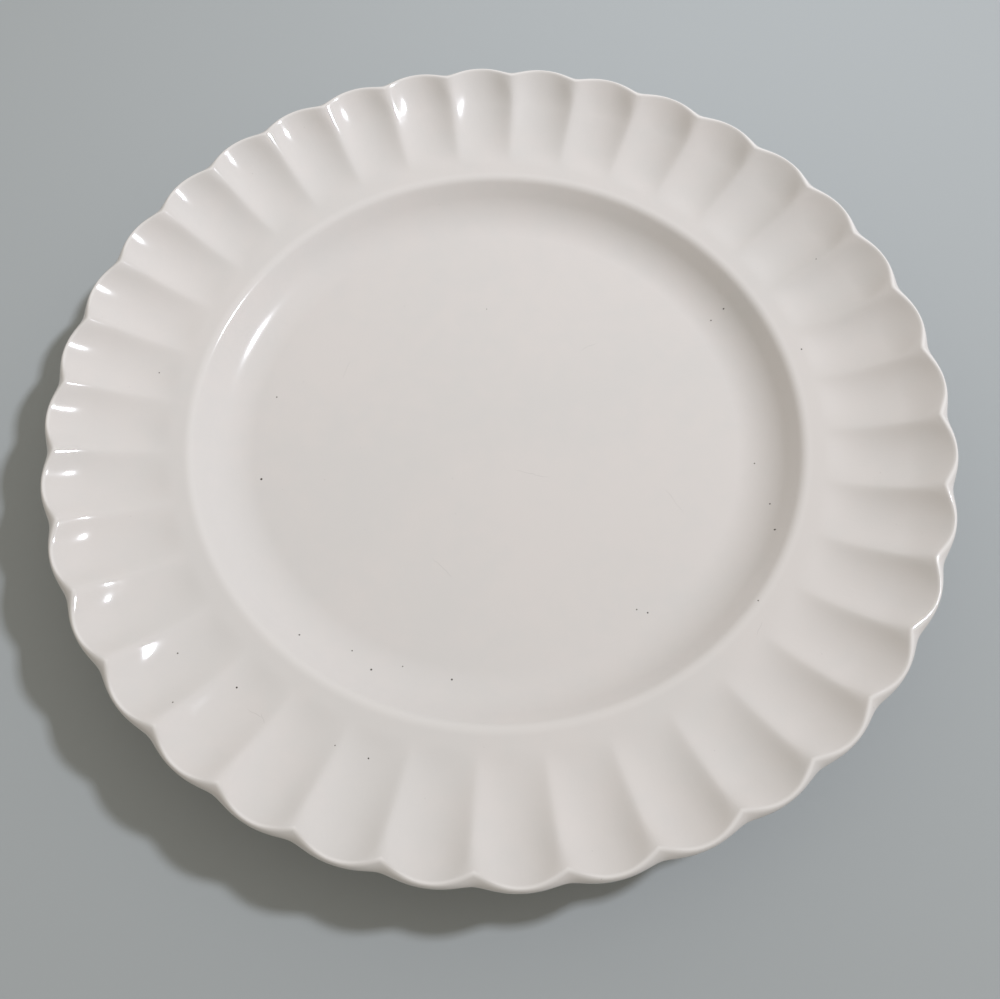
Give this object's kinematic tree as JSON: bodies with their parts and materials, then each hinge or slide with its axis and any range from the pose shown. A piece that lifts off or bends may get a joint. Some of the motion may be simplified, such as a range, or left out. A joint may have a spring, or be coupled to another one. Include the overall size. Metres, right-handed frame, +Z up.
{
  "type": "scalloped dessert plate",
  "caption": "Round glazed dessert plate with a flat well, a coved shoulder, a fluted rim and a scalloped lip, standing on a foot ring.",
  "frame": {"origin": "centre of the foot ring's flat, on the surface that the plate stands on", "axes": "+Z up along the plate's axis, +X through the middle of one flute"},
  "size_m": [0.203, 0.203, 0.0223],
  "materials": {
    "white_glaze": "clear gloss glaze over a warm white body, with small dark pin specks",
    "fired_clay": "bare fired clay on the flat that the plate stands on, glazed sides"
  },
  "bodies": {
    "root": {"well": "white_glaze", "shoulder": "white_glaze", "rim": "white_glaze", "lip": "white_glaze", "foot_ring": "fired_clay"}
  },
  "joints": []
}
